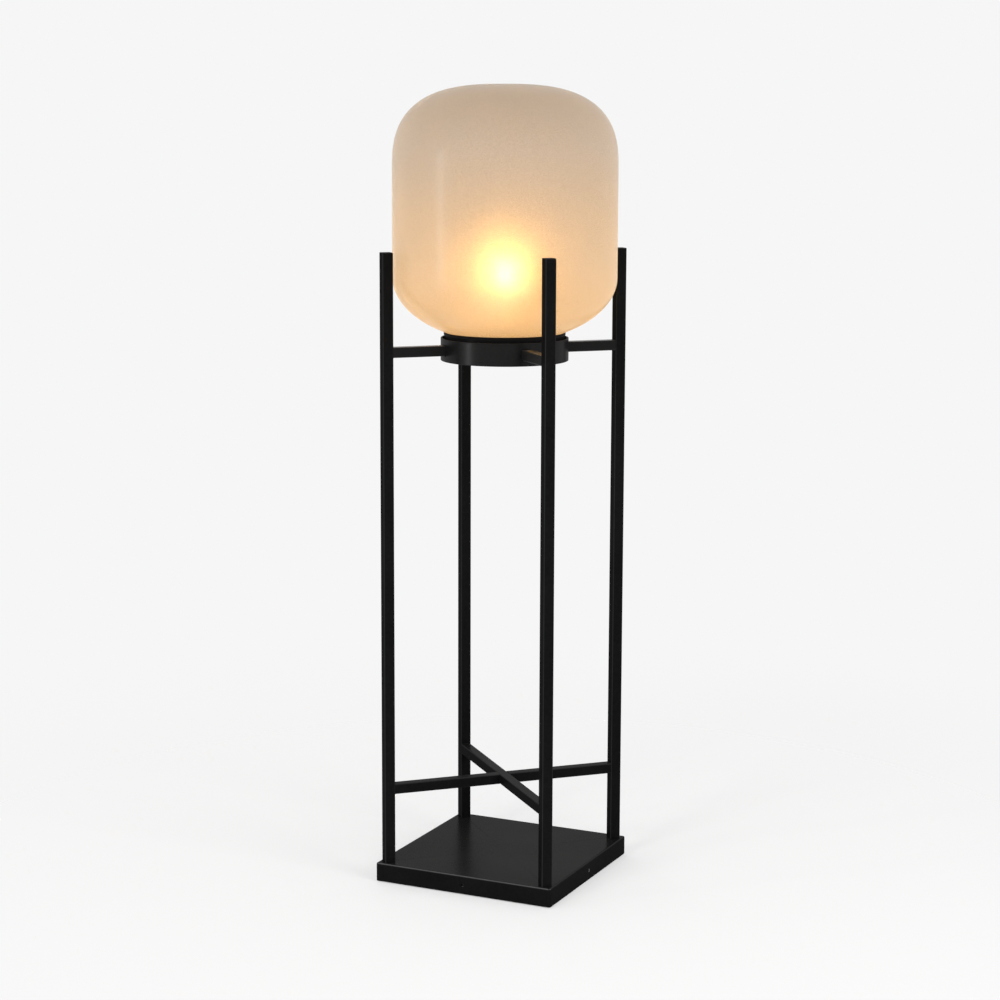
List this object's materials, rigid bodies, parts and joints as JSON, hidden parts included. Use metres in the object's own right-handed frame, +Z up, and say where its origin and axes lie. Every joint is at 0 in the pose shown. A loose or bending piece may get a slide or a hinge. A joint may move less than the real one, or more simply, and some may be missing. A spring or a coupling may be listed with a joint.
{
  "type": "lantern floor lamp",
  "caption": "Floor lamp with a square base, square tube posts and a frosted glass jar held in a ring between them.",
  "frame": {"origin": "on the floor, under the middle of the square base", "axes": "+Z up the lamp's axis; the base's sides face +X, -X, +Y and -Y, and the supply cord enters at +Y"},
  "size_m": [0.3464, 0.3462, 1.24],
  "materials": {
    "powder_coated_steel": "satin powder coat",
    "zinc_plated_steel": "zinc plated",
    "black_oxide_steel": "black oxide",
    "black_rubber": "matte",
    "black_silicone": "satin",
    "frosted_glass": "acid frosted",
    "black_plastic": "moulded",
    "white_insulator": "glazed",
    "brass": "plain",
    "bulb_glass": "clear, lit",
    "bulb_metal": "nickel plated",
    "bulb_insulator": "vitrified",
    "clear_glass": "clear",
    "glowing_filament": "lit",
    "lead_sheath": "moulded"
  },
  "bodies": {
    "frame": {"base_cover": "powder_coated_steel", "base_plate": "powder_coated_steel", "post_front_left": "powder_coated_steel", "post_front_right": "powder_coated_steel", "post_back_right": "powder_coated_steel", "post_back_left": "powder_coated_steel", "post_caps": "powder_coated_steel", "cross_bar": "powder_coated_steel", "cross_half_front_left": "powder_coated_steel", "cross_half_back_right": "powder_coated_steel", "arm_front_left": "powder_coated_steel", "arm_front_right": "powder_coated_steel", "arm_back_right": "powder_coated_steel", "arm_back_left": "powder_coated_steel", "holder_ring": "powder_coated_steel", "ring_strap": "powder_coated_steel", "ring_lugs": "powder_coated_steel", "ring_cover": "powder_coated_steel", "glass_cup": "powder_coated_steel", "cover_brackets": "zinc_plated_steel", "post_spacers": "zinc_plated_steel", "post_bolts": "zinc_plated_steel", "bolt_washers": "zinc_plated_steel", "post_inserts": "zinc_plated_steel", "ring_cover_screws": "zinc_plated_steel", "nipple": "zinc_plated_steel", "nipple_washer": "zinc_plated_steel", "nipple_nut": "zinc_plated_steel", "terminal_screws": "zinc_plated_steel", "cover_screws": "black_oxide_steel", "floor_pads": "black_rubber", "rim_gasket": "black_silicone", "holder_cap": "black_plastic", "holder_skirt": "black_plastic", "cord_bush": "black_plastic", "lead_bushes": "black_plastic", "holder_core": "white_insulator", "terminal_block": "white_insulator", "holder_shell": "brass", "holder_contact": "brass", "inner_lead": "lead_sheath"},
    "glass": {"glass_shade": "frosted_glass"},
    "bulb": {"bulb_globe": "bulb_glass", "bulb_cap": "bulb_metal", "bulb_insulator": "bulb_insulator", "bulb_tip": "bulb_metal", "bulb_stem": "clear_glass", "bulb_filaments": "glowing_filament"}
  },
  "joints": [
    {"name": "glass_lift", "type": "slide", "parent": "frame", "child": "glass", "axis": [0, 0, 1], "range_m": [0, 0.2]},
    {"name": "bulb_release", "type": "slide", "parent": "frame", "child": "bulb", "axis": [0, 0, 1], "range_m": [0, 0.06]}
  ]
}
